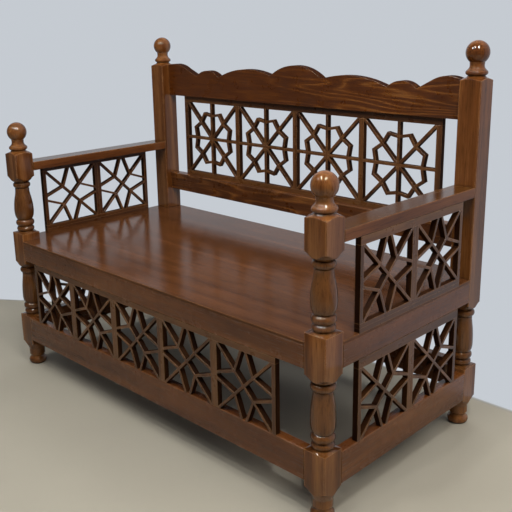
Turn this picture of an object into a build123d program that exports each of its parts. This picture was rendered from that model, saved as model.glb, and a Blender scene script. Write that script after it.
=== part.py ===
"""Persian takht: a wooden two-seat bench with turned posts, a scalloped crest and open lattice panels.

Millimetres. +X runs along the bench, +Y to its back and +Z up.
The origin is on the floor, in the middle of the plan.
"""
import os
from math import atan2, cos, degrees, hypot, pi, sin, sqrt

from build123d import *

# --- Plan -------------------------------------------------------------------------------------
post_section = 65        # square posts
post_span = 1306         # between post axes, along X
post_depth = 631         # between post axes, along Y
post_arris = 3           # flat along the square blocks' long corners
turning_relief = 0.4     # turned lengths stay this much inside the square faces

# --- Heights of the posts' blocks and turned lengths, from the floor up -------------------------
foot_height = 83
lower_block = 99
baluster_length = 193.5  # the same turning below and above the seat
seat_block = 103
arm_block = 74.5
back_square = 623.5      # the back posts stay square from the seat to their finials

# --- Turning ------------------------------------------------------------------------------------
# Round stretches are turned as a few straight chords of their arcs.
bead_facets = 3
cove_facets = 2
vase_facets = 4
ball_facets = 6
tongue_drop = 12         # lamb's tongue under a square block
tongue_radius = 33.2
tongue_hollow_share = 0.33   # how far its hollow's middle stands out towards the block's corners
tongue_height = 28       # from the block's corners down to the quirk above the first bead
bead_height = 17
bead_quirk = 4.5         # how far a bead stands out of the quirks beside it
neck_drop = 58           # narrowest place, measured from the block above
neck_radius = 22.6
neck_height = 26         # from the first bead's foot to where the vase starts
neck_flare = 1.6         # how much wider than the neck the vase starts
vase_drop = 92           # where the vase swells through its middle radius
vase_radius = 30.2
belly_drop = 120
waist_height = 43.5      # narrow place between the vase and the lower bead, above the block below
waist_radius = 27.2
vase_curl = 10           # height over which the vase rounds in to the waist
vase_ease = 1            # how much narrower than its belly the vase is at the curl
base_height = 20.5       # round base that stands on the block below
base_round = 7           # height over which it rounds out of the last quirk

# --- Foot ---------------------------------------------------------------------------------------
foot_neck_height = 34
foot_neck_radius = 26.5
foot_ring_radius = 30
foot_ring_height = 21
foot_cove_height = 27.5
foot_cove_radius = 22.5
foot_sole_radius = 25

# --- Finial, heights above the square block that carries it ---------------------------------------
shoulder_rise = 11
shoulder_radius = 28.5
shoulder_step = 1        # how far the shoulder starts below the ring
finial_ring_height = 13
finial_ring_radius = 29.5
finial_neck_rise = 37.5
finial_neck_radius = 19.3
ball_rise = 73
ball_radius = 31.5
ball_fillet = 1          # how much wider than the neck the ball's underside starts

# --- Rails --------------------------------------------------------------------------------------
rail_thickness = 28      # boards on edge, outer faces flush with the posts
rail_arris = 1.5         # flat along the long edges
seat_rail_width = 59.5
front_lower_bottom = 98
front_lower_width = 84
side_lower_bottom = 86
side_lower_width = 86
arm_rail_width = 65
arm_rail_thickness = 28
arm_rail_top = 717
tenon_thickness = 10
tenon_length = 36
tenon_shoulder = 8       # the tenon is this much narrower than its rail at each edge
mortise_clearance = 0.2  # around the tenon's cheeks and edges
mortise_end = 1          # left free past the tenon's end

# --- Back ---------------------------------------------------------------------------------------
back_inset = 4           # crest, panel rail and lattice lie this far inside the posts' rear face
panel_rail_bottom = 530
panel_rail_width = 64
panel_rail_thickness = 36
crest_thickness = 28
crest_bottom = 891
crest_middle = 127.5     # top of the middle hump above the crest's straight edge
# The scallops from the middle out to the post: first cusp, long hump, second cusp, short hump,
# third cusp, end of the rise, end hump and end. Each is a share of the half width between the
# posts and a share of crest_middle. They are cut by eye, a little unlike to left and right.
crest_scallops = {
    "left": ((0.158, 0.712), (0.33, 0.851), (0.564, 0.588), (0.651, 0.761),
             (0.751, 0.584), (0.846, 0.784), (0.927, 0.91), (1, 0.871)),
    "right": ((0.193, 0.7075), (0.343, 0.82), (0.5915, 0.604), (0.683, 0.759),
              (0.754, 0.604), (0.841, 0.827), (0.898, 0.91), (1, 0.8)),
}

# --- Seat ---------------------------------------------------------------------------------------
seat_height = 455
seat_thickness = 20
seat_lip = 8             # thickness that is left over the rails
seat_arris = 1.5         # flat along the lip's upper edge
seat_gap = 0.3           # between the board and the posts and the rails' inner faces
cleat_size = 20
bearer_count = 3
bearer_width = 32
bearer_height = 38
bearer_housing = 8       # depth to which a bearer is let into the seat rails
bearer_clearance = 0.2

# --- Lattice panels -----------------------------------------------------------------------------
lattice_thickness = 16
stub_length = 8          # the side strips' stub tenons
stub_thickness = 6
stub_clearance = 0.1
# Star panels are frames side by side, each with its own two side strips
frame_strip = 12
frame_gap = 0.5
star_slat = 7.5
star_root_share = 0.045  # where a kite's strip starts, aside from the side's middle, in cell widths
star_node_share = 0.17   # where it ends on the diagonal, from the cell's centre, in cell widths
front_cells = 5
front_pitch_share = 0.176    # of the length between the posts
front_shift_share = -0.012   # the row stands this far off the middle
front_head = 17              # top strip
side_cells = 2
side_pitch_share = 0.396     # of the depth between the posts
side_head = 24
arm_batten = 10          # lath on the seat, under the arm frames
batten_housing = 2       # depth to which it is let into the seat
batten_clearance = 0.1
arm_foot = 12            # bottom strip
arm_head = 20.5
# The back panel's cells share their side strips
back_cells = 4
back_pitch_share = 0.218     # of the length between the posts
back_strip = 18
back_slat = 9
back_head = 22
back_foot = 16
petal_count = 8
petal_tip_share = 0.383      # tips of the petals, from the cell's centre, in cell widths
petal_valley_share = 0.325   # where the petals meet on the rays

# --- Derived places -----------------------------------------------------------------------------
half_post = post_section / 2
outer_x = post_span / 2 + half_post
outer_y = post_depth / 2 + half_post
inner_x = outer_x - post_section     # faces of the posts that look at each other
inner_y = outer_y - post_section
lower_block_top = foot_height + lower_block
seat_block_bottom = lower_block_top + baluster_length
seat_block_top = seat_block_bottom + seat_block
arm_block_bottom = seat_block_top + baluster_length
arm_block_top = arm_block_bottom + arm_block
back_square_top = seat_block_bottom + back_square
seat_rail_top = seat_height - seat_lip
seat_rail_bottom = seat_rail_top - seat_rail_width
front_lower_top = front_lower_bottom + front_lower_width
side_lower_top = side_lower_bottom + side_lower_width
arm_rail_bottom = arm_rail_top - arm_rail_thickness
panel_rail_top = panel_rail_bottom + panel_rail_width
back_face = outer_y - back_inset     # rear plane of the crest, panel rail and lattice
seat_underside = seat_height - seat_thickness
rail_inner_x = outer_x - rail_thickness
rail_inner_y = outer_y - rail_thickness
crest_end_share = min(shares[-1][1] for shares in crest_scallops.values())
crest_end_top = crest_bottom + crest_end_share * crest_middle   # the lower end sets the tenons
crest_y = back_face - crest_thickness / 2
corner_radius = hypot(half_post, half_post)
turned_radius = half_post - turning_relief


def block(x0, x1, y0, y1, z0, z1):
    """A box from its six faces."""
    return Pos((x0 + x1) / 2, (y0 + y1) / 2, (z0 + z1) / 2) * Box(x1 - x0, y1 - y0, z1 - z0)


def eased(solid, axis):
    """A rail with its long edges taken off."""
    return chamfer(solid.edges().filter_by(axis), rail_arris)


# ------------------------------------------------------------------------------------------------
# Turned posts: outlines are lists of (radius, height), drawn downwards
# ------------------------------------------------------------------------------------------------
def chords(start, middle, end, count):
    """Points along the arc through three points."""
    arc = ThreePointArc(start, middle, end)
    points = [arc @ (step / count) for step in range(count + 1)]
    return [(point.X, point.Y) for point in points]


def tongue(z):
    """Lamb's tongue under a square block that ends at z, down to where it meets the quirk."""
    hollow_radius = tongue_radius + tongue_hollow_share * (corner_radius - tongue_radius)
    return chords((corner_radius, z), (hollow_radius, z - tongue_drop / 2),
                  (tongue_radius, z - tongue_drop), cove_facets)


def ring(top, height, radius):
    """A round bead between two quirks."""
    quirk = radius - bead_quirk
    return chords((quirk, top), (radius, top - height / 2), (quirk, top - height), bead_facets)


def baluster(top, bottom):
    """The turned length between two blocks: tongue, bead, neck, vase, bead and base."""
    bead_foot = top - tongue_height - bead_height
    neck = [(neck_radius, top - neck_drop), (neck_radius + neck_flare, bead_foot - neck_height)]
    waist = bottom + waist_height
    vase = chords((vase_radius, top - vase_drop), (turned_radius, top - belly_drop),
                  (turned_radius - vase_ease, waist + vase_curl), vase_facets)
    base_top = bottom + base_height
    base = [(turned_radius, base_top - base_round), (turned_radius, bottom), (corner_radius, bottom)]
    return (tongue(top) + ring(top - tongue_height, bead_height, turned_radius) + neck + vase
            + [(waist_radius, waist)]
            + ring(base_top + bead_height, bead_height, turned_radius) + base)


def finial(z):
    """Ball, neck, ring and sloping shoulder above a square block that ends at z."""
    neck_end = finial_neck_radius + ball_fillet
    ball_end = z + ball_rise - sqrt(ball_radius ** 2 - neck_end ** 2)
    ring_top = z + shoulder_rise + finial_ring_height
    ball = chords((0, z + ball_rise + ball_radius), (ball_radius, z + ball_rise),
                  (neck_end, ball_end), ball_facets)
    neck = [(finial_neck_radius, z + finial_neck_rise)]
    return (ball + neck + ring(ring_top, finial_ring_height, finial_ring_radius)
            + [(shoulder_radius, z + shoulder_rise - shoulder_step), (corner_radius, z)])


def foot():
    """Turned foot under the lower block: tongue, neck, cove and ring, down to the floor."""
    toe = chords((foot_ring_radius - bead_quirk, foot_ring_height),
                 (foot_ring_radius, foot_ring_height / 2), (foot_sole_radius, 0), bead_facets)
    return (tongue(foot_height)
            + [(foot_neck_radius, foot_height - tongue_height), (foot_neck_radius, foot_neck_height)]
            + [(foot_cove_radius, foot_cove_height)] + toe + [(0, 0)])


def turned_post(square_top, turned_lengths):
    """A post cut from one square blank, with its turned lengths, foot and finial."""
    outline = finial(square_top)
    for top, bottom in turned_lengths:
        outline += baluster(top, bottom)
    turning = revolve(Plane.XZ * make_face(Polyline(outline + foot(), close=True)), Axis.Z)
    blank = Rectangle(post_section, post_section)
    blank = extrude(chamfer(blank.vertices(), post_arris), square_top + ball_rise + ball_radius)
    return turning & blank


# ------------------------------------------------------------------------------------------------
# Rails and their joints
# ------------------------------------------------------------------------------------------------
def tenons_x(y, z0, z1, clearance=0, end=0):
    """Tenons at both ends of a rail along X, or with a clearance the room that they need."""
    half = tenon_thickness / 2 + clearance
    low = z0 + tenon_shoulder - clearance
    high = z1 - tenon_shoulder + clearance
    reach = inner_x + tenon_length + end
    return [block(-reach, -inner_x, y - half, y + half, low, high),
            block(inner_x, reach, y - half, y + half, low, high)]


def tenons_y(x, z0, z1, clearance=0, end=0):
    """Tenons at both ends of a rail along Y, or with a clearance the room that they need."""
    half = tenon_thickness / 2 + clearance
    low = z0 + tenon_shoulder - clearance
    high = z1 - tenon_shoulder + clearance
    reach = inner_y + tenon_length + end
    return [block(x - half, x + half, -reach, -inner_y, low, high),
            block(x - half, x + half, inner_y, reach, low, high)]


# Rails along X: y of the middle, thickness, bottom, top
front_y = outer_y - rail_thickness / 2
panel_rail_y = back_face - panel_rail_thickness / 2
long_rails = {
    "front_seat_rail": (-front_y, rail_thickness, seat_rail_bottom, seat_rail_top),
    "back_seat_rail": (front_y, rail_thickness, seat_rail_bottom, seat_rail_top),
    "front_lower_rail": (-front_y, rail_thickness, front_lower_bottom, front_lower_top),
    "back_lower_rail": (front_y, rail_thickness, front_lower_bottom, front_lower_top),
    "back_panel_rail": (panel_rail_y, panel_rail_thickness, panel_rail_bottom, panel_rail_top),
}
# Rails along Y, one at each side: x of the middle, thickness, bottom, top
side_x = outer_x - rail_thickness / 2
arm_x = outer_x - arm_rail_width / 2
side_rails = {
    "seat_rail": (side_x, rail_thickness, seat_rail_bottom, seat_rail_top),
    "lower_rail": (side_x, rail_thickness, side_lower_bottom, side_lower_top),
    "arm_rail": (arm_x, arm_rail_width, arm_rail_bottom, arm_rail_top),
}
hands = {"left": -1, "right": 1}


def long_rail(y, thickness, z0, z1):
    """A board between the left and right posts, with a tenon at each end."""
    board = block(-inner_x, inner_x, y - thickness / 2, y + thickness / 2, z0, z1)
    return eased(board, Axis.X) + tenons_x(y, z0, z1)


def side_rail(x, thickness, z0, z1):
    """A board between the front and back posts, with a tenon at each end."""
    board = block(x - thickness / 2, x + thickness / 2, -inner_y, inner_y, z0, z1)
    return eased(board, Axis.Y) + tenons_y(x, z0, z1)


def mortises():
    """The room that every tenon needs in the posts."""
    rooms = tenons_x(crest_y, crest_bottom, crest_end_top, mortise_clearance, mortise_end)
    for place in long_rails.values():
        y, thickness, z0, z1 = place
        rooms += tenons_x(y, z0, z1, mortise_clearance, mortise_end)
    for place in side_rails.values():
        x, thickness, z0, z1 = place
        for sign in hands.values():
            rooms += tenons_y(sign * x, z0, z1, mortise_clearance, mortise_end)
    return rooms


def crest_rail():
    """A board with a straight lower edge and a scalloped upper one."""
    def placed(sign, share):
        return (sign * share[0] * inner_x, crest_bottom + share[1] * crest_middle)

    edges = [Line((-inner_x, crest_bottom), (inner_x, crest_bottom))]
    first_cusps = []
    for hand, shares in crest_scallops.items():
        points = [placed(hands[hand], share) for share in shares]
        first_cusp, long_hump, second_cusp, short_hump, third_cusp, rise_end, end_hump, end = points
        first_cusps.append(first_cusp)
        edges += [
            ThreePointArc(first_cusp, long_hump, second_cusp),
            ThreePointArc(second_cusp, short_hump, third_cusp),
            Line(third_cusp, rise_end),
            ThreePointArc(rise_end, end_hump, end),
            Line(end, (end[0], crest_bottom)),
        ]
    middle_top = (0, crest_bottom + crest_middle)
    edges.append(ThreePointArc(first_cusps[0], middle_top, first_cusps[1]))
    face = make_face(edges)
    board = extrude(Plane.XZ.offset(-back_face) * face, crest_thickness)
    return board + tenons_x(crest_y, crest_bottom, crest_end_top)


# ------------------------------------------------------------------------------------------------
# Seat
# ------------------------------------------------------------------------------------------------
def spread(count, pitch):
    """Places of a row of things, centred on zero."""
    return [(step - (count - 1) / 2) * pitch for step in range(count)]


bearer_places = spread(bearer_count, 2 * inner_x / (bearer_count + 1))


def seat_board():
    """One board, rebated to lie over the rails and notched round the posts."""
    lip = block(-outer_x, outer_x, -outer_y, outer_y, seat_rail_top, seat_height)
    board = chamfer(lip.edges().group_by(Axis.Z)[-1], seat_arris)
    board += block(-rail_inner_x + seat_gap, rail_inner_x - seat_gap,
                   -rail_inner_y + seat_gap, rail_inner_y - seat_gap, seat_underside, seat_rail_top)
    side = post_section + 2 * seat_gap
    notch = Box(side, side, seat_thickness)
    middle = (seat_underside + seat_height) / 2
    for sx in hands.values():
        for sy in hands.values():
            board -= Pos(sx * post_span / 2, sy * post_depth / 2, middle) * notch
    return board


def end_cleat(sign):
    """A strip along a side rail that carries the board's end."""
    x0, x1 = sorted((sign * (rail_inner_x - cleat_size), sign * rail_inner_x))
    return block(x0, x1, -inner_y, inner_y, seat_underside - cleat_size, seat_underside)


def edge_cleat(sign):
    """A strip along the front or back rail that carries the board's long edge."""
    y0, y1 = sorted((sign * (rail_inner_y - cleat_size), sign * rail_inner_y))
    return block(-inner_x, inner_x, y0, y1, seat_underside - cleat_size, seat_underside)


def bearer(x):
    """A cross bearer, notched under the edge cleats and let into the front and back rails."""
    reach = rail_inner_y + bearer_housing
    bar = block(x - bearer_width / 2, x + bearer_width / 2, -reach, reach,
                seat_underside - bearer_height, seat_underside)
    for sign in hands.values():
        y0, y1 = sorted((sign * (rail_inner_y - cleat_size), sign * (reach + cleat_size)))
        bar -= block(x - bearer_width, x + bearer_width, y0, y1,
                     seat_underside - cleat_size, seat_height)
    return bar


def bearer_housings():
    """The room that the bearers' ends need in the front and back seat rails."""
    reach = rail_inner_y + bearer_housing + bearer_clearance
    half = bearer_width / 2 + bearer_clearance
    return [block(x - half, x + half, -reach, reach, seat_underside - bearer_height,
                  seat_underside - cleat_size) for x in bearer_places]


# ------------------------------------------------------------------------------------------------
# Lattice: a panel is drawn flat, u along it and v up, and then extruded to its thickness
# ------------------------------------------------------------------------------------------------
def slat(start, end, width):
    """A straight strip between two points, with some length to spare at both ends."""
    length = hypot(end[0] - start[0], end[1] - start[1]) + 2 * width
    angle = degrees(atan2(end[1] - start[1], end[0] - start[0]))
    middle = Pos((start[0] + end[0]) / 2, (start[1] + end[1]) / 2)
    return middle * Rot(0, 0, angle) * Rectangle(length, width)


def wedge(first, second):
    """The part of a cell between its centre and two points."""
    return make_face(Polyline((0, 0), first, second, close=True))


def around(angle, width, height):
    """A point on the oval as wide and high as two cells, at an angle from its centre."""
    return (width * cos(angle), height * sin(angle))


def solid_slat(face):
    """A strip's face as a solid that is centred on the panel's middle plane."""
    return Pos(0, 0, -lattice_thickness / 2) * extrude(face, lattice_thickness)


def star_cell(width, height):
    """Crossed diagonals, half-lapped, and eight strips that cut a four-kite star."""
    opening = Rectangle(width, height)
    corners = [(width / 2, height / 2), (width / 2, -height / 2)]
    faces = [slat((-u, -v), (u, v), star_slat) & opening for u, v in corners]
    crossing = faces[0] & faces[1]
    rising = solid_slat(faces[0]) - extrude(crossing, lattice_thickness)
    falling = solid_slat(faces[1]) - extrude(crossing, -lattice_thickness)
    strips = []
    for su in hands.values():
        for sv in hands.values():
            node = (su * star_node_share * width, sv * star_node_share * height)
            corner = (su * width / 2, sv * height / 2)
            from_side = slat((corner[0], sv * star_root_share * height), node, star_slat)
            from_end = slat((su * star_root_share * width, corner[1]), node, star_slat)
            for strip, middle in ((from_side, (corner[0], 0)), (from_end, (0, corner[1]))):
                strips.append(solid_slat((strip & wedge(middle, corner)) - faces[0] - faces[1]))
    return {"diagonals": [rising, falling], "star_strips": strips}


def rosette_cell(width, height):
    """Eight rays through the centre, and sixteen strips that cut an eight-petal rosette."""
    opening = Rectangle(width, height)
    upright = slat((0, -height / 2), (0, height / 2), back_slat) & opening
    level = slat((-width / 2, 0), (width / 2, 0), back_slat) & opening
    crossing = upright & level
    cross = [solid_slat(upright) - extrude(crossing, lattice_thickness),
             solid_slat(level) - extrude(crossing, -lattice_thickness)]
    diagonals = [slat((-width / 2, -v), (width / 2, v), back_slat) & opening
                 for v in (height / 2, -height / 2)]
    rays = []
    for face in diagonals:
        rays += [solid_slat(piece) for piece in (face - upright - level).faces()]
    step = 2 * pi / petal_count
    strips = []
    for index in range(petal_count):
        tip_ray = around((index + 0.5) * step, width, height)
        for angle in (index * step, (index + 1) * step):
            ray = around(angle, width, height)
            valley = (petal_valley_share * ray[0], petal_valley_share * ray[1])
            tip = (petal_tip_share * tip_ray[0], petal_tip_share * tip_ray[1])
            strip = slat(valley, tip, back_slat) & wedge(ray, tip_ray)
            strip = strip - upright - level - diagonals[0] - diagonals[1]
            strips.append(solid_slat(strip))
    return {"cross_strips": cross, "rays": rays, "petal_strips": strips}


def star_row(cells, pitch):
    """Star frames side by side: places of their middles and side strips, and their openings."""
    middles = spread(cells, pitch)
    reach = (pitch - frame_gap - frame_strip) / 2
    return {"middles": middles, "sides": [u + side * reach for u in middles for side in (-1, 1)],
            "strip": frame_strip, "opening": pitch - frame_gap - 2 * frame_strip, "cell": star_cell}


def rosette_row(cells, pitch):
    """Rosette cells that share the side strips between them."""
    return {"middles": spread(cells, pitch), "sides": spread(cells + 1, pitch),
            "strip": back_strip, "opening": pitch - back_strip, "cell": rosette_cell}


def strip_along(row, low, high, clearance=0):
    """A strip as long as the whole row, or with a clearance the room that it needs."""
    reach = max(row["sides"]) + row["strip"] / 2 + clearance
    half = lattice_thickness / 2 + clearance
    return block(-reach, reach, low, high, -half, half)


def stubs(row, low, high, clearance=0):
    """Stub tenons below and above the side strips, or with a clearance the room that they need."""
    wide = row["strip"] / 4 + clearance
    thick = stub_thickness / 2 + clearance
    reach = stub_length + clearance
    return [block(u - wide, u + wide, low - reach, high + reach, -thick, thick) for u in row["sides"]]


def lattice_panel(row, height, foot, head):
    """The flat panel's pieces by kind: top strip, bottom strip if it has one, stiles and cells."""
    half = lattice_thickness / 2
    high = height - head
    rooms = stubs(row, foot, high, stub_clearance)
    kinds = {"top_strip": [strip_along(row, high, height) - rooms]}
    if foot:
        kinds["bottom_strip"] = [strip_along(row, 0, foot) - rooms]
    kinds["stiles"] = []
    for u, stub in zip(row["sides"], stubs(row, foot, high)):
        wide = row["strip"] / 2
        kinds["stiles"].append(block(u - wide, u + wide, foot, high, -half, half) + stub)
    drawn = row["cell"](row["opening"], high - foot)
    for kind, pieces in drawn.items():
        places = [Pos(u, (foot + high) / 2, 0) for u in row["middles"]]
        kinds[kind] = [place * piece for place in places for piece in pieces]
    return kinds


# Where each panel stands: its middle plane, row of cells, bottom, top, bottom strip and top strip
between_x = 2 * inner_x
between_y = 2 * inner_y
front_row = star_row(front_cells, front_pitch_share * between_x)
side_row = star_row(side_cells, side_pitch_share * between_y)
back_row = rosette_row(back_cells, back_pitch_share * between_x)
front_plane = Plane((front_shift_share * between_x, -outer_y + lattice_thickness / 2, 0),
                    x_dir=(1, 0, 0), z_dir=(0, -1, 0))
back_plane = Plane((0, back_face - lattice_thickness / 2, 0), x_dir=(1, 0, 0), z_dir=(0, -1, 0))
side_planes = {hand: Plane((sign * (outer_x - lattice_thickness / 2), 0, 0),
                           x_dir=(0, sign, 0), z_dir=(sign, 0, 0)) for hand, sign in hands.items()}
panels = {
    "front": (front_plane, front_row, front_lower_top, seat_rail_bottom, 0, front_head),
    "back": (back_plane, back_row, panel_rail_top, crest_bottom, back_foot, back_head),
}
for hand, plane in side_planes.items():
    panels[f"{hand}_lower"] = (plane, side_row, side_lower_top, seat_rail_bottom, 0, side_head)
    panels[f"{hand}_arm"] = (plane, side_row, seat_height + arm_batten, arm_rail_bottom, arm_foot,
                             arm_head)
# Rails that the side strips of a panel without a bottom strip are let into
stands_on = {"front": "front_lower_rail", "left_lower": "left_lower_rail",
             "right_lower": "right_lower_rail"}


# ------------------------------------------------------------------------------------------------
# Assembly
# ------------------------------------------------------------------------------------------------
def assembly():
    """Every node's name with its solids."""
    nodes = {}
    front_post = turned_post(arm_block_top, [(arm_block_bottom, seat_block_top),
                                             (seat_block_bottom, lower_block_top)])
    back_post = turned_post(back_square_top, [(seat_block_bottom, lower_block_top)])
    rooms = mortises()
    for hand, sx in hands.items():
        for end, sy, post in (("front", -1, front_post), ("back", 1, back_post)):
            placed = Pos(sx * post_span / 2, sy * post_depth / 2, 0) * post
            nodes[f"{end}_{hand}_post"] = placed - rooms
    for name, place in long_rails.items():
        nodes[name] = long_rail(*place)
    for name in ("front_seat_rail", "back_seat_rail"):
        nodes[name] -= bearer_housings()
    for kind, (x, thickness, z0, z1) in side_rails.items():
        for hand, sign in hands.items():
            nodes[f"{hand}_{kind}"] = side_rail(sign * x, thickness, z0, z1)
    nodes["crest_rail"] = crest_rail()
    nodes["seat_board"] = seat_board()
    nodes["left_seat_cleat"] = end_cleat(-1)
    nodes["right_seat_cleat"] = end_cleat(1)
    nodes["front_seat_cleat"] = edge_cleat(-1)
    nodes["back_seat_cleat"] = edge_cleat(1)
    nodes["seat_bearers"] = Compound(children=[bearer(x) for x in bearer_places])
    for name, (plane, row, low, high, foot, head) in panels.items():
        for kind, pieces in lattice_panel(row, high - low, foot, head).items():
            placed = [plane * (Pos(0, low, 0) * piece) for piece in pieces]
            nodes[f"{name}_lattice_{kind}"] = Compound(children=placed)
    for name, rail in stands_on.items():
        plane, row, low, high, foot, head = panels[name]
        nodes[rail] -= [plane * room for room in stubs(row, low, high - head, stub_clearance)]
    for hand, plane in side_planes.items():
        heights = (seat_height - batten_housing, seat_height + arm_batten)
        nodes[f"{hand}_arm_lattice_batten"] = plane * strip_along(side_row, *heights)
        nodes["seat_board"] -= plane * strip_along(side_row, *heights, batten_clearance)
    return nodes


if __name__ == "__main__":
    os.makedirs("parts", exist_ok=True)
    for node, shape in assembly().items():
        export_step(shape, f"parts/{node}.step")
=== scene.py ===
"""Looks of the persian takht: stained and varnished walnut, turned posts and lattice panels.

Metres, in the part's own frame: +X along the bench, +Y to its back, +Z up from the floor.
"""
from math import atan2, cos, pi, radians, sin

import bmesh
import bpy
from mathutils import Matrix, Vector


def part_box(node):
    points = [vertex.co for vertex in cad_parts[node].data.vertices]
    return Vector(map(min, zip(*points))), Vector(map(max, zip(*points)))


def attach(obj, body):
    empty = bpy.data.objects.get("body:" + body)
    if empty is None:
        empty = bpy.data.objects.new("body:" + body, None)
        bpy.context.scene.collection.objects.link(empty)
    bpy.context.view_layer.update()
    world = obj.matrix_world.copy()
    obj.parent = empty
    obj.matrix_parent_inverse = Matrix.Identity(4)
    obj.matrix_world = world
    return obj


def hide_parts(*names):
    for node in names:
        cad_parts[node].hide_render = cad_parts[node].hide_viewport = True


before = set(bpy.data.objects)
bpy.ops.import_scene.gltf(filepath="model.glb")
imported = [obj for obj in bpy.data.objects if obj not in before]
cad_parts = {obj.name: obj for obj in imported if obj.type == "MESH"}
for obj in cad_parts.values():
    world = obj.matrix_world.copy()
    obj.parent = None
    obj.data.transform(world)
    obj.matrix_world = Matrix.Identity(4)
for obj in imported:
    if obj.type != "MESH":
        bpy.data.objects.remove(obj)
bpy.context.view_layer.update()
scene = bpy.context.scene

# --- What the finishes share ----------------------------------------------------------------------
WALNUT_DARK = (0.05, 0.0135, 0.003)
WALNUT = (0.122, 0.04, 0.0092)
WALNUT_LIGHT = (0.23, 0.092, 0.026)
WORN_EDGE_AND_HIGHLIGHT = (0.46, 0.25, 0.11)   # colour of the edges: stain rubbed off them, and a painted highlight along them
SAWN_AND_SHADE = (0.34, 0.3, 0.26)         # tint of sawn faces, partly their stain and partly painted shade
PORE_SHADE = 0.35                # an open pore's colour, as a share of the dark grain's
GRAIN_DRAW = 0.045               # how far streaks and pores are drawn out along the grain
EDGE_RADIUS = 0.0022             # how far from an edge its shading turns
HOLLOW_SHADE_REACH = 0.012             # hollows narrower than this get painted shade
GRAIN_DEPTH = 0.0006             # height of the grain's bumps
PROBES = 4                       # samples of the nodes that look round a point
# Scales of the noises for fibres, patches of stain, the edges' wear and painted highlight, and the
# varnish's sheen
FIBRES, PATCHES, EDGE_PATCHES, SHEEN = 380, 5.5, 38, 24


class Tree:
    """Short calls for building a material's nodes."""

    def __init__(self, name):
        self.material = bpy.data.materials.new(name)
        self.material.use_nodes = True
        self.tree = self.material.node_tree
        self.shader = self.tree.nodes["Principled BSDF"]

    def put(self, value, socket):
        """Links another node's output to a socket, or sets a plain value."""
        if isinstance(value, bpy.types.NodeSocket):
            self.tree.links.new(value, socket)
        else:
            socket.default_value = value

    def finish(self, name, value):
        """One input of the material's main shader."""
        self.put(value, self.shader.inputs[name])

    def add(self, kind, inputs=None, **settings):
        node = self.tree.nodes.new("ShaderNode" + kind)
        for key, value in settings.items():
            setattr(node, key, value)
        for key, value in (inputs or {}).items():
            self.put(value, node.inputs[key])
        return node

    def math(self, operation, first, second=0.0):
        return self.add("Math", {0: first, 1: second}, operation=operation).outputs[0]

    def ramp(self, factor, *stops):
        node = self.add("ValToRGB", {0: factor})
        points = node.color_ramp.elements
        while len(points) < len(stops):
            points.new(0.5)
        for point, (place, colour) in zip(points, stops):
            point.position = place
            point.color = (*colour, 1)
        return node.outputs[0]

    def curve(self, factor, low, high, start=0.0, end=1.0):
        """Maps low to start and high to end, and holds both beyond them."""
        return self.add("MapRange", {0: factor, 1: low, 2: high, 3: start, 4: end}).outputs[0]

    def mix(self, factor, first, second, blend="MIX"):
        node = self.add("Mix", {0: factor}, data_type="RGBA", blend_type=blend)
        for key, value in ((6, first), (7, second)):
            self.put((*value, 1) if isinstance(value, tuple) else value, node.inputs[key])
        return node.outputs[2]

    def shade(self, colour, level):
        """A colour times a grey level."""
        grey = self.add("CombineColor", {i: level for i in range(3)}).outputs[0]
        return self.mix(1.0, colour, grey, "MULTIPLY")

    def noise(self, vector, scale, detail=3.0, roughness=0.55):
        return self.add("TexNoise", {"Vector": vector, "Scale": scale, "Detail": detail,
                                     "Roughness": roughness}).outputs[0]

    def component(self, vector, axis):
        return self.add("SeparateXYZ", {0: vector}).outputs["xyz".index(axis)]

    def drawn(self, vector, axis, share):
        """A place on which patterns are drawn out along the grain."""
        scale = tuple(share if name == axis else 1 for name in "xyz")
        return self.add("Mapping", {"Vector": vector, "Scale": scale}).outputs[0]


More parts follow.
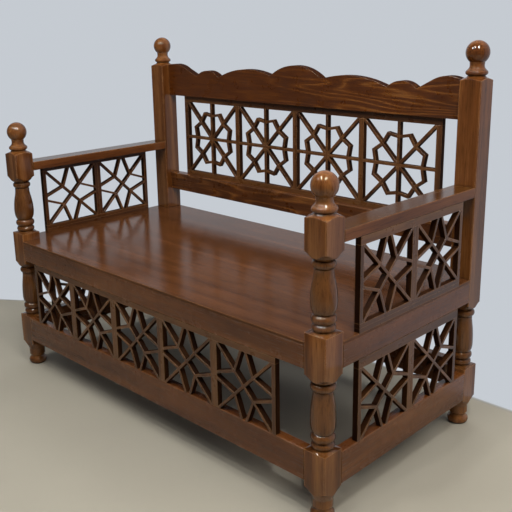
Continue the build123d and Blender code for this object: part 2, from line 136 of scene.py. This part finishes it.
def wood(name, axis, dark, middle, light, *, offset, figure=9.0, bands=58.0, sharp=1.0,
         draw=GRAIN_DRAW, contrast=1.0, streak=0.66, figured=None, patchy=0.17, pores=0.5,
         edge=0.4, hollow_shade=None, face=None, sawn_and_shade=SAWN_AND_SHADE, dull=0.35, gloss=0.3, ior=1.45,
         relief=0.35):
    """Stained and varnished wood with its grain along one axis.

    offset moves the pattern, so that two woods don't look alike.
    figure, bands, sharp, draw and contrast are the scale, number, narrowness, length and strength
    of the annual rings' lines, and streak is the strength of the finer streaks.
    figured gives the two places along the grain between which the rings grow stronger.
    patchy is how much the stain's depth wanders, and pores how dark the open pores are.
    edge is how strongly edges are lightened, for wear and as a painted highlight, and hollow_shade
    how dark the painted shade in hollows is.
    face names the axis that the planed faces look along: the other faces take the sawn_and_shade
    tint, partly sawn-face stain and partly painted shade, and are rougher by dull.
    gloss is the varnish's mean roughness, ior its refractive index, and relief how strongly the
    grain shows through it.
    """
    t = Tree(name)
    place = t.add("TexCoord").outputs["Object"]
    shift = (offset, offset * 0.7, offset * 1.3)
    moved = t.add("Mapping", {"Vector": place, "Location": shift}).outputs[0]

    # Annual rings, streaks and fine fibres
    warp = t.noise(t.drawn(moved, axis, draw), figure * 0.5, 2, 0.45)
    rings = t.curve(t.math("SINE", t.math("MULTIPLY", warp, bands)), -1, 1)
    rings = t.math("POWER", rings, sharp)
    if figured:
        rings = t.math("MULTIPLY", rings, t.curve(t.component(place, axis), *figured, 0.3, 1.0))
    stretch = t.drawn(moved, axis, GRAIN_DRAW)
    streaks = t.noise(stretch, figure * 9, 5, 0.65)
    fine = t.noise(stretch, FIBRES, 3, 0.7)
    grain = t.math("ADD", t.math("MULTIPLY", rings, 0.34 * contrast),
                   t.math("MULTIPLY", streaks, streak))
    grain = t.math("ADD", grain, t.math("MULTIPLY", t.math("SUBTRACT", fine, 0.5), 0.35))

    # Stain: its three colours, patches and pores; sawn faces darker, partly as painted shade; edges
    # lighter for wear and as a painted highlight; painted shade in hollows
    colour = t.ramp(grain, (0.16, dark), (0.5, middle), (0.86, light))
    patches = t.curve(t.noise(moved, PATCHES), 0.3, 0.75, 1 - patchy, 1 + patchy)
    colour = t.shade(colour, patches)
    open_pores = t.curve(fine, 0.28, 0.46, 1, 0)
    pore_colour = tuple(c * PORE_SHADE for c in dark)
    colour = t.mix(t.math("MULTIPLY", open_pores, pores), colour, pore_colour)
    facing = t.add("NewGeometry").outputs["Normal"]
    # Faces that don't look along face are darker: partly the stain of sawn faces, partly painted
    # shade
    if face:
        planed = t.curve(t.math("ABSOLUTE", t.component(facing, face)), 0.5, 0.85)
        colour = t.mix(planed, t.mix(1.0, colour, sawn_and_shade, "MULTIPLY"), colour)
    rounded = t.add("Bevel", {"Radius": EDGE_RADIUS}, samples=PROBES).outputs[0]
    turn = t.add("VectorMath", {0: rounded, 1: facing}, operation="DOT_PRODUCT").outputs["Value"]
    # Edges lightened: worn stain, and a painted highlight along them
    edge_patches = t.curve(t.noise(moved, EDGE_PATCHES), 0.35, 0.65, 0.35, 1)
    worn_and_highlit = t.math("MULTIPLY", t.curve(turn, 0.995, 0.9), edge_patches)
    colour = t.mix(t.math("MULTIPLY", worn_and_highlit, edge), colour, WORN_EDGE_AND_HIGHLIGHT)
    # Painted shade in hollows: the more enclosed a point is, the darker it gets
    if hollow_shade:
        occlusion = t.add("AmbientOcclusion", {"Distance": HOLLOW_SHADE_REACH}, samples=PROBES)
        colour = t.shade(colour, t.curve(occlusion.outputs["AO"], 0.3, 0.72, hollow_shade, 1))
    t.finish("Base Color", colour)

    # Varnish: glossy, duller over open pores and on sawn faces, with the grain showing through
    rough = t.curve(t.noise(moved, SHEEN, 4), 0.3, 0.7, gloss * 0.82, gloss * 1.22)
    rough = t.math("ADD", rough, t.math("MULTIPLY", open_pores, relief * 0.3))
    if face and dull:
        rough = t.math("ADD", rough, t.curve(planed, 0, 1, dull, 0))
        t.finish("Specular IOR Level", t.curve(planed, 0, 1, 0.06, 0.5))
    t.finish("Roughness", rough)
    bump = t.add("Bump", {"Strength": relief, "Distance": GRAIN_DEPTH,
                          "Height": t.math("ADD", fine, streaks)})
    if not hollow_shade:
        t.put(rounded, bump.inputs["Normal"])
    t.finish("Normal", bump.outputs[0])
    t.finish("IOR", ior)
    return t.material


def stained(share, redder):
    """The three walnut colours, each a share as light."""
    tint = (share * redder, share, share / redder)
    return [tuple(c * t for c, t in zip(colour, tint))
            for colour in (WALNUT_DARK, WALNUT, WALNUT_LIGHT)]


# The rails along y, at the bench's sides, are a little lighter than those along x: painted light
rail_wood = {
    axis: wood(f"walnut_{axis}", axis, *stained(share, 1.05), offset=offset, draw=0.07,
               contrast=0.6, patchy=0.09, gloss=0.25)
    for axis, share, offset in (("x", 1.02, 0), ("y", 1.08, 0.3))}
# The turned woods get painted shade in their hollows, and their edges are lightened for wear and as
# a painted highlight
turned_wood, hollowed_wood = (
    wood(name, "z", *stained(share, 0.96), offset=1.1, edge=0.9, hollow_shade=0.12, gloss=0.075,
         relief=0.03)
    for name, share in (("turned_walnut", 1.22), ("hollowed_walnut", 0.8)))
# The arm rail's top and underside take the darker tint: painted shade
arm_wood = wood("arm_walnut", "y", *stained(1.12, 1.02), offset=0.3, draw=0.07, contrast=0.6,
                patchy=0.09, face="x", sawn_and_shade=(0.6, 0.72, 0.78), dull=0, gloss=0.17, ior=1.33)
seat_wood = wood("seat_walnut", "x", (0.061, 0.0205, 0.0068), (0.099, 0.0365, 0.0125),
                 (0.143, 0.056, 0.02), offset=2.0, figure=6, contrast=0.6, pores=0.25, edge=0.5,
                 gloss=0.085, ior=1.24)
# The crest's top, bottom and ends take the darker tint: partly painted shade
crest_wood, panel_wood = (
    wood(name, "x", dark, middle, (0.285, 0.115, 0.026), offset=4.0, figure=22, bands=105.0,
         sharp=2.0, draw=0.1, contrast=1.05, streak=0.55, figured=figured, face=face)
    for name, face, figured, dark, middle in (
        ("crest_walnut", "y", (-0.35, 0.25), (0.054, 0.0122, 0.0012), (0.112, 0.031, 0.0028)),
        ("panel_walnut", None, None, (0.05, 0.0145, 0.004), (0.11, 0.036, 0.0095))))
# The lattices' strips, by the axis that their planed faces look along and the grain's
# The strips' faces that don't look along their planed axis take the darker tint: partly painted
# shade
slat_wood = {
    face + axis: wood(f"slats_{face}{axis}", axis, *stained(0.8, 0.94), offset=2.6, edge=0.6,
                      face=face)
    for face, axis in ("xy", "xz", "yx", "yz")}

# --- Finishes of the CAD nodes --------------------------------------------------------------------
RAIL_EDGE, LATTICE_EDGE = 0.002, 0.0006      # rounding of sharp edges
LEVEL_STRIPS = ("top_strip", "bottom_strip", "cross_strips", "batten")


def finish_of(name):
    """The wood of one CAD node."""
    at_side = name.startswith(("left_", "right_"))
    if name == "seat_board":
        return seat_wood
    if name == "crest_rail":
        return crest_wood
    if name == "back_panel_rail":
        return panel_wood
    if name.endswith("_arm_rail"):
        return arm_wood
    if "lattice" in name:
        face, level = "xy" if at_side else "yx"
        return slat_wood[face + (level if name.endswith(LEVEL_STRIPS) else "z")]
    return rail_wood["y" if at_side or name == "seat_bearers" else "x"]


def soften(piece, width):
    """Rounds off a piece's sharp edges."""
    bevel = piece.modifiers.new("soft_edges", "BEVEL")
    bevel.width = width
    bevel.segments = 2
    bevel.limit_method = "ANGLE"
    bevel.angle_limit = radians(30)


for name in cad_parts:
    if name.endswith("_post"):
        continue
    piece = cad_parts[name]
    piece.data.materials.clear()
    piece.data.materials.append(finish_of(name))
    soften(piece, LATTICE_EDGE if "lattice" in name else RAIL_EDGE)

# --- Turned posts: outlines for the lathe as (radius, height) points, from the top down -----------
HALF = 0.0325                    # half the square section
CORNER = HALF * 2 ** 0.5         # from a post's axis to its square section's corner
ARRIS = 0.0022                   # flat along the blocks' corners
SOFT = 0.0008                    # rounding of a block's flat end
QUIRK = 0.007                    # depth of the grooves beside a bead
RING = 0.0286                    # radius of the ring below the lower bead
BALL = 0.0318                    # radius of the finial's ball
BALL_RISE = 0.0725               # its middle above the block
BALL_TOP = 0.1045
BALL_NECK = 0.0203               # radius where the ball ends
STEP = 0.0012                    # about the most that an outline drops from point to point
SIDE_POINTS = 15                 # points round each flat side of a block
SHARP_ABOVE = 38                 # degrees between faces from which their edge stays sharp
TINY = 1e-6
SLACK = 0.0002                   # how far inside the blocks' sides the turned faces lie at least

# Tops of the feet and ends of the square blocks
FOOT, LOWER_TOP, SEAT_BLOCK, SEAT_TOP = 0.083, 0.182, 0.3755, 0.4785
ARM_BLOCK, ARM_TOP, BACK_TOP = 0.672, 0.7465, 0.999

# Radii of the vases and how far they lie below the block above
UPPER_VASE = [(0.0232, 0.047), (0.0248, 0.062), (0.0279, 0.076), (0.031, 0.0965),
              (0.0321, 0.1165), (0.0306, 0.133), (0.0268, 0.1445)]
LOWER_VASE = [(0.0255, 0.047), (0.0268, 0.06), (0.0292, 0.079), (0.0309, 0.103),
              (0.0312, 0.124), (0.0298, 0.138), (0.0268, 0.1465)]


def arc(start, middle, end, count):
    """Points along the circle through three (radius, height) points."""
    (ax, ay), (bx, by), (cx, cy) = start, middle, end
    d = 2 * (ax * (by - cy) + bx * (cy - ay) + cx * (ay - by))
    ux = ((ax * ax + ay * ay) * (by - cy) + (bx * bx + by * by) * (cy - ay)
          + (cx * cx + cy * cy) * (ay - by)) / d
    uy = ((ax * ax + ay * ay) * (cx - bx) + (bx * bx + by * by) * (ax - cx)
          + (cx * cx + cy * cy) * (bx - ax)) / d
    reach = ((ax - ux) ** 2 + (ay - uy) ** 2) ** 0.5
    angles = [atan2(y - uy, x - ux) for x, y in (start, middle, end)]
    for i in (1, 2):
        while angles[i] - angles[i - 1] > pi:
            angles[i] -= 2 * pi
        while angles[i] - angles[i - 1] < -pi:
            angles[i] += 2 * pi
    turns = [angles[0] + (angles[2] - angles[0]) * i / count for i in range(count + 1)]
    return [(ux + reach * cos(t), uy + reach * sin(t)) for t in turns]


def flowing(points, count):
    """A smooth line that never swings past its points."""
    slopes = [(b[0] - a[0]) / (b[1] - a[1]) for a, b in zip(points, points[1:])]
    turns = [slopes[0]] + [0 if a * b <= 0 else 2 * a * b / (a + b)
                           for a, b in zip(slopes, slopes[1:])] + [slopes[-1]]
    line = []
    for (a, b), first, last in zip(zip(points, points[1:]), turns, turns[1:]):
        span = b[1] - a[1]
        for i in range(count):
            s = i / count
            r = ((2 * s ** 3 - 3 * s * s + 1) * a[0] + (s ** 3 - 2 * s * s + s) * span * first
                 + (3 * s * s - 2 * s ** 3) * b[0] + (s ** 3 - s * s) * span * last)
            line.append((r, a[1] + s * span))
    return line + [points[-1]]


def tongue(z):
    """The lamb's tongue below a block's underside at z."""
    return arc((CORNER, z), (0.0374, z - 0.006), (0.0332, z - 0.012), 14)


def bead(top, height, radius):
    quirk = radius - QUIRK
    return arc((quirk, top), (radius, top - height / 2), (quirk, top - height), 12)


def baluster(top, bottom, bead_radius, vase):
    """Tongue, bead, vase, bead, ring and base from a block down to the next one.

    A third number is half the square section at that height: it rounds the block's end.
    """
    neck = [(bead_radius - QUIRK, top - 0.0395), (vase[0][0], top - 0.0425)]
    return (tongue(top) + [(0.0262, top - 0.0185)] + bead(top - 0.0195, 0.02, bead_radius)
            + flowing(neck + [(r, top - drop) for r, drop in vase], 8)
            + bead(bottom + 0.0455, 0.0225, 0.0303)
            + arc((RING - 0.004, bottom + 0.0215), (RING, bottom + 0.0135),
                  (RING - 0.004, bottom + 0.0055), 10)
            + [(RING - 0.002, bottom + 0.0045), (0.0315, bottom + 0.0022),
               (CORNER, bottom, HALF - SOFT), (CORNER, bottom - SOFT * 0.3, HALF - SOFT * 0.3),
               (CORNER, bottom - SOFT, HALF)])


def finial(z):
    """Ball, neck, ring and shoulder above a block's top at z."""
    ball_end = z + (BALL_RISE - (BALL ** 2 - BALL_NECK ** 2) ** 0.5)
    return (arc((0, z + BALL_TOP), (BALL, z + BALL_RISE), (BALL_NECK, ball_end), 30)
            + flowing([(BALL_NECK, ball_end), (0.0195, z + 0.0395), (0.0205, z + 0.034),
                       (0.025, z + 0.028)], 5)[1:]
            + bead(z + 0.028, 0.0145, 0.0298)
            + [(0.0245, z + 0.011), (0.0265, z + 0.0085), (CORNER, z)])


def foot():
    """Tongue, neck and rounded sole, down to the floor."""
    return (tongue(FOOT) + [(0.0265, FOOT - 0.028), (0.0265, 0.034)]
            + flowing([(0.0262, 0.0338), (0.0225, 0.0275), (0.0255, 0.021)], 5)
            + arc((0.0255, 0.021), (0.03, 0.0105), (0.025, 0), 14) + [(0, 0)])


def stepped(outline):
    """The outline with points added, except down a square block's straight sides."""
    dense = [outline[0]]
    for point in outline[1:]:
        last = dense[-1]
        straight = last[0] == point[0] >= CORNER * 0.999
        steps = 1 if straight else max(1, int((last[1] - point[1]) / STEP))
        for i in range(1, steps):
            s = i / steps
            dense.append(tuple(a + (b - a) * s for a, b in zip(last[:2], point[:2])))
        dense.append(point)
    return dense


def lathed(outline, middle):
    """The faces of an outline turned about a post's axis and cut from the square blank."""
    limit = atan2(HALF - ARRIS, HALF)
    quarter = [-limit + 2 * limit * i / (SIDE_POINTS - 1) for i in range(SIDE_POINTS)] + [pi / 4]
    angles = [q + side * pi / 2 for side in range(4) for q in quarter]
    bm = bmesh.new()
    rings = []
    for radius, z, *square in stepped(outline):
        half = square[0] if square else HALF
        if radius < TINY:
            rings.append([bm.verts.new((*middle, z))])
            continue
        ring = []
        for angle in angles:
            fold = abs((angle + pi / 4) % (pi / 2) - pi / 4)
            flat = (2 * half - ARRIS) / 2 ** 0.5
            reach = min(radius, half / cos(fold), flat / cos(pi / 4 - fold))
            ring.append(bm.verts.new((middle[0] + reach * cos(angle),
                                      middle[1] + reach * sin(angle), z)))
        rings.append(ring)
    for upper, lower in zip(rings, rings[1:]):
        count = max(len(upper), len(lower))
        for i in range(count):
            j = (i + 1) % count
            if len(upper) == 1:
                bm.faces.new((upper[0], lower[i], lower[j]))
            elif len(lower) == 1:
                bm.faces.new((upper[i], lower[0], upper[j]))
            else:
                bm.faces.new((upper[i], lower[i], lower[j], upper[j]))
    bmesh.ops.remove_doubles(bm, verts=bm.verts, dist=TINY)
    bmesh.ops.recalc_face_normals(bm, faces=bm.faces)
    return bm


def is_turned(centre, middle):
    """Whether a face belongs to a baluster's turned length and not to a square block."""
    between = LOWER_TOP < centre.z < SEAT_BLOCK or SEAT_TOP < centre.z < ARM_BLOCK
    aside = max(abs(centre.x - middle[0]), abs(centre.y - middle[1]))
    return between and aside < HALF - SLACK


def post(name, outline):
    """One turned post in its node's place, darker between the blocks."""
    low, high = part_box(name)
    middle = ((low[0] + high[0]) / 2, (low[1] + high[1]) / 2)
    bm = lathed(outline, middle)
    mesh = bpy.data.meshes.new(name + "_turned")
    bm.to_mesh(mesh)
    bm.free()
    mesh.shade_smooth()
    mesh.set_sharp_from_angle(angle=radians(SHARP_ABOVE))
    mesh.materials.append(turned_wood)
    mesh.materials.append(hollowed_wood)
    for polygon in mesh.polygons:
        polygon.material_index = int(is_turned(polygon.center, middle))
    made = bpy.data.objects.new(name + "_turned", mesh)
    scene.collection.objects.link(made)
    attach(made, "root")
    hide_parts(name)


for hand in ("left", "right"):
    lower_half = baluster(SEAT_BLOCK, LOWER_TOP, 0.0315, LOWER_VASE) + foot()
    upper_half = baluster(ARM_BLOCK, SEAT_TOP, 0.0282, UPPER_VASE)
    post(f"front_{hand}_post", finial(ARM_TOP) + upper_half + lower_half)
    post(f"back_{hand}_post", finial(BACK_TOP) + lower_half)

# --- Floor and backdrop ---------------------------------------------------------------------------
PALE = (0.56, 0.595, 0.64)       # backdrop, and the floor from where it meets it
ROOM = (0.125, 0.118, 0.11)      # the studio on the other side
STONE = (0.41, 0.393, 0.338)     # floor
BEHIND = 0.46                    # how far behind the middle the floor turns pale
BESIDE = 0.831                   # and how far beyond which slanting line to the left
SLANT = 0.7
NEAREST = -0.25                  # the slanting part ends here towards the front
SEAM = 0.02                      # width of the blend between floor and backdrop
FADE = (2.6, 4.5)                # from and to where the floor fades into the studio
AMBIENT = 0.2                    # strength of backdrop and studio as lights
FLOOR_REACH = 9                  # half the floor's side
TURN_PALE = (-0.1, 0.25)         # share towards the back from and to which the world turns pale


def seen_or_lighting(tree):
    """1 where the eye, a reflection or a clear body sees the backdrop, AMBIENT where it lights."""
    path = tree.nodes.new("ShaderNodeLightPath")
    seen = path.outputs["Is Camera Ray"]
    for kind in ("Is Glossy Ray", "Is Transmission Ray"):
        either = tree.nodes.new("ShaderNodeMath")
        either.operation = "MAXIMUM"
        tree.links.new(seen, either.inputs[0])
        tree.links.new(path.outputs[kind], either.inputs[1])
        seen = either.outputs[0]
    strength = tree.nodes.new("ShaderNodeMapRange")
    strength.inputs[3].default_value = AMBIENT
    tree.links.new(seen, strength.inputs[0])
    return strength.outputs[0]


def floor_material():
    """A pale stone floor that runs into the pale backdrop behind the bench."""
    t = Tree("pale_floor")
    place = t.add("TexCoord").outputs["Object"]
    across, deep = (t.component(place, axis) for axis in "xy")
    slanted = t.math("SUBTRACT", deep, t.math("MULTIPLY", across, SLANT))
    slanted = t.math("MINIMUM", t.curve(slanted, BESIDE, BESIDE + SEAM),
                     t.curve(deep, NEAREST, NEAREST + SEAM))
    beyond = t.math("MAXIMUM", t.curve(deep, BEHIND, BEHIND + SEAM), slanted)
    t.finish("Base Color", t.shade(STONE, t.curve(t.noise(place, 3, 4), 0.2, 0.8, 0.96, 1.02)))
    t.finish("Roughness", 0.6)
    t.finish("Specular IOR Level", 0.12)
    reach = t.add("VectorMath", {0: place}, operation="LENGTH").outputs["Value"]
    unlit = t.math("MAXIMUM", beyond, t.curve(reach, *FADE))
    glow = t.add("Emission", {"Color": t.mix(beyond, ROOM, PALE),
                              "Strength": seen_or_lighting(t.tree)})
    mixed = t.add("MixShader", {0: unlit, 1: t.shader.outputs[0], 2: glow.outputs[0]})
    output = next(node for node in t.tree.nodes if node.type == "OUTPUT_MATERIAL")
    t.put(mixed.outputs[0], output.inputs["Surface"])
    t.material.cycles.emission_sampling = "NONE"
    return t.material


mesh = bpy.data.meshes.new("floor")
mesh.from_pydata([(x * FLOOR_REACH, y * FLOOR_REACH, 0)
                  for x, y in ((-1, -1), (1, -1), (1, 1), (-1, 1))], [], [(0, 1, 2, 3)])
mesh.materials.append(floor_material())
floor = bpy.data.objects.new("floor", mesh)
scene.collection.objects.link(floor)

# World: dark behind the eye, pale behind the bench
world = bpy.data.worlds.new("studio")
scene.world = world
world.use_nodes = True
air = world.node_tree
direction = air.nodes.new("ShaderNodeTexCoord").outputs["Generated"]
split = air.nodes.new("ShaderNodeSeparateXYZ")
air.links.new(direction, split.inputs[0])
behind = air.nodes.new("ShaderNodeMapRange")
behind.inputs[1].default_value, behind.inputs[2].default_value = TURN_PALE
air.links.new(split.outputs[1], behind.inputs[0])
side = air.nodes.new("ShaderNodeMix")
side.data_type = "RGBA"
side.inputs[6].default_value, side.inputs[7].default_value = (*ROOM, 1), (*PALE, 1)
air.links.new(behind.outputs[0], side.inputs[0])
air.links.new(side.outputs[2], air.nodes["Background"].inputs[0])
air.links.new(seen_or_lighting(air), air.nodes["Background"].inputs[1])

# --- Lamps ----------------------------------------------------------------------------------------
LIT = (0.2, 0, 0.5)              # where the tubes point


def lamp(name, place, target, size, power, colour):
    """A soft oblong lamp that faces a point."""
    data = bpy.data.lights.new(name, "AREA")
    data.shape = "RECTANGLE"
    data.size, data.size_y = size
    data.energy = power
    data.color = colour
    made = bpy.data.objects.new(name, data)
    made.location = place
    made.rotation_euler = (Vector(target) - Vector(place)).to_track_quat("-Z", "Y").to_euler()
    scene.collection.objects.link(made)
    return made


# Broad lamps that don't show in the varnish
fills = (
    lamp("ceiling", (0.3, -0.4, 3.2), (0.1, 0, 0.5), (2.2, 1.4), 16, (1, 0.97, 0.92)),
    lamp("rear", (-0.9, 1.8, 4.1), (0, 0, 0.5), (2.0, 1.4), 31, (1, 0.97, 0.93)),
    lamp("low_rear", (-0.4, 3.1, 0.35), (0, 0.3, 0.6), (2.4, 0.4), 17, (1, 0.97, 0.93)),
    lamp("low_side", (-3.3, 0.3, 0.35), (-0.6, 0, 0.5), (1.4, 0.4), 11, (1, 0.96, 0.9)),
    lamp("window", (2.2, 0.2, 2.1), (0.5, 0, 0.5), (1.4, 1.0), 26, (1, 0.91, 0.8)),
    lamp("front", (0.6, -2.6, 3.0), (0.1, 0, 0.5), (1.6, 1.0), 9, (1, 0.95, 0.87)))
for fill in fills:
    fill.visible_glossy = False
# Six small tubes under the ceiling, each with a glint that shows only in the varnish
for i in range(3):
    for j in range(2):
        hang = (-0.65 + 1.2 * i - 0.25 * j, -2.35 + 0.55 * (i + j), 3.0)
        lamp(f"tube_{i}_{j}", hang, LIT, (0.12, 0.16), 8 + 4.5 * i, (1, 0.96, 0.89))
        glint = lamp(f"glint_{i}_{j}", hang, LIT, (0.15, 0.2), 30, (1, 0.98, 0.95))
        glint.visible_diffuse = False

# --- Camera at the photograph's viewing angle -----------------------------------------------------
PICTURE = 512                    # pixels along the photograph's sides
FOCAL = 778.66                   # focal length in those pixels
AXIS = (250.93, 224.885)         # pixel that the optical axis passes through
SENSOR = 36                      # millimetres
EYE = (1.6962, -1.5963, 1.1720)
TURN, TILT, ROLL = 0.781, 0.261, -0.018

back = Vector((sin(TURN) * cos(TILT), -cos(TURN) * cos(TILT), sin(TILT)))
right = Vector((cos(TURN), sin(TURN), 0))
up = back.cross(right)
across = right * cos(ROLL) + up * sin(ROLL)
upright = up * cos(ROLL) - right * sin(ROLL)
camera_data = bpy.data.cameras.new("photo_view")
camera_data.sensor_width = SENSOR
camera_data.lens = FOCAL / PICTURE * SENSOR
camera_data.shift_x = (PICTURE / 2 - AXIS[0]) / PICTURE
camera_data.shift_y = (AXIS[1] - PICTURE / 2) / PICTURE
camera_data.clip_end = 50
camera = bpy.data.objects.new("photo_view", camera_data)
rows = [(across[i], upright[i], back[i], EYE[i]) for i in range(3)]
camera.matrix_world = Matrix(rows + [(0, 0, 0, 1)])
scene.collection.objects.link(camera)
scene.camera = camera
scene.view_settings.view_transform = "Standard"
